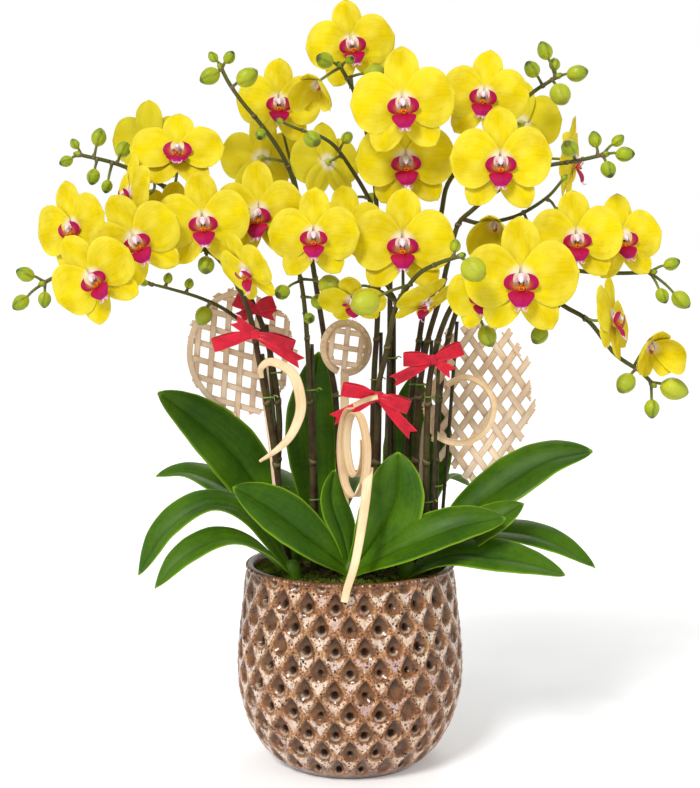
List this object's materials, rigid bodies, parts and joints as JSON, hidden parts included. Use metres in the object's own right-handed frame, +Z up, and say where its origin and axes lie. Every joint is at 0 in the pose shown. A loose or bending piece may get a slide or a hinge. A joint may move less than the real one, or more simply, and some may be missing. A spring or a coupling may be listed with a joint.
{
  "type": "potted orchid",
  "caption": "Moth orchid with yellow blooms on arching stems in a dimpled brown glazed pot, with bamboo panels, curls and red bows.",
  "frame": {"origin": "centre of the pot's foot on the surface it stands on", "axes": "+Z up, the blooms face -Y, +X to the right seen from the front"},
  "size_m": [0.4787, 0.2671, 0.5639],
  "materials": {
    "brown_glaze": "glossy pooled glaze, brown with cream dimples",
    "bark_and_moss": "rough",
    "green_stem": "satin, green buds",
    "yellow_petal": "soft matt",
    "leaf": "waxy",
    "bamboo": "smooth split bamboo",
    "red_satin": "satin"
  },
  "bodies": {
    "root": {"pot": "brown_glaze", "growing_medium": "bark_and_moss", "spike_left_low": "green_stem", "spike_left_high": "green_stem", "spike_top_left": "green_stem", "spike_front_left": "green_stem", "spike_top_centre": "green_stem", "spike_centre": "green_stem", "spike_right_top": "green_stem", "spike_front_arch": "green_stem", "spike_right_mid": "green_stem", "spike_right_wide": "green_stem", "spike_right_low": "green_stem", "bloom_01": "yellow_petal", "bloom_02": "yellow_petal", "bloom_03": "yellow_petal", "bloom_04": "yellow_petal", "bloom_05": "yellow_petal", "bloom_06": "yellow_petal", "bloom_07": "yellow_petal", "bloom_08": "yellow_petal", "bloom_09": "yellow_petal", "bloom_10": "yellow_petal", "bloom_11": "yellow_petal", "bloom_12": "yellow_petal", "bloom_13": "yellow_petal", "bloom_14": "yellow_petal", "bloom_15": "yellow_petal", "bloom_16": "yellow_petal", "bloom_18": "yellow_petal", "bloom_19": "yellow_petal", "bloom_20": "yellow_petal", "bloom_21": "yellow_petal", "bloom_22": "yellow_petal", "bloom_24": "yellow_petal", "bloom_25": "yellow_petal", "bloom_26": "yellow_petal", "bloom_28": "yellow_petal", "bloom_29": "yellow_petal", "bloom_30": "yellow_petal", "bloom_32": "yellow_petal", "bloom_33": "yellow_petal", "bloom_34": "yellow_petal", "leaves_left": "leaf", "leaves_left_front": "leaf", "leaves_front": "leaf", "leaves_right_front": "leaf", "leaves_right": "leaf", "leaves_back_left": "leaf", "leaves_back_right": "leaf", "panel_left": "bamboo", "panel_right": "bamboo", "bamboo_hoop": "bamboo", "bow_left": "red_satin", "bow_left_back": "red_satin", "bow_centre": "red_satin", "bow_right": "red_satin", "curl_left": "bamboo", "curl_centre": "bamboo", "curl_right": "bamboo"}
  },
  "joints": []
}
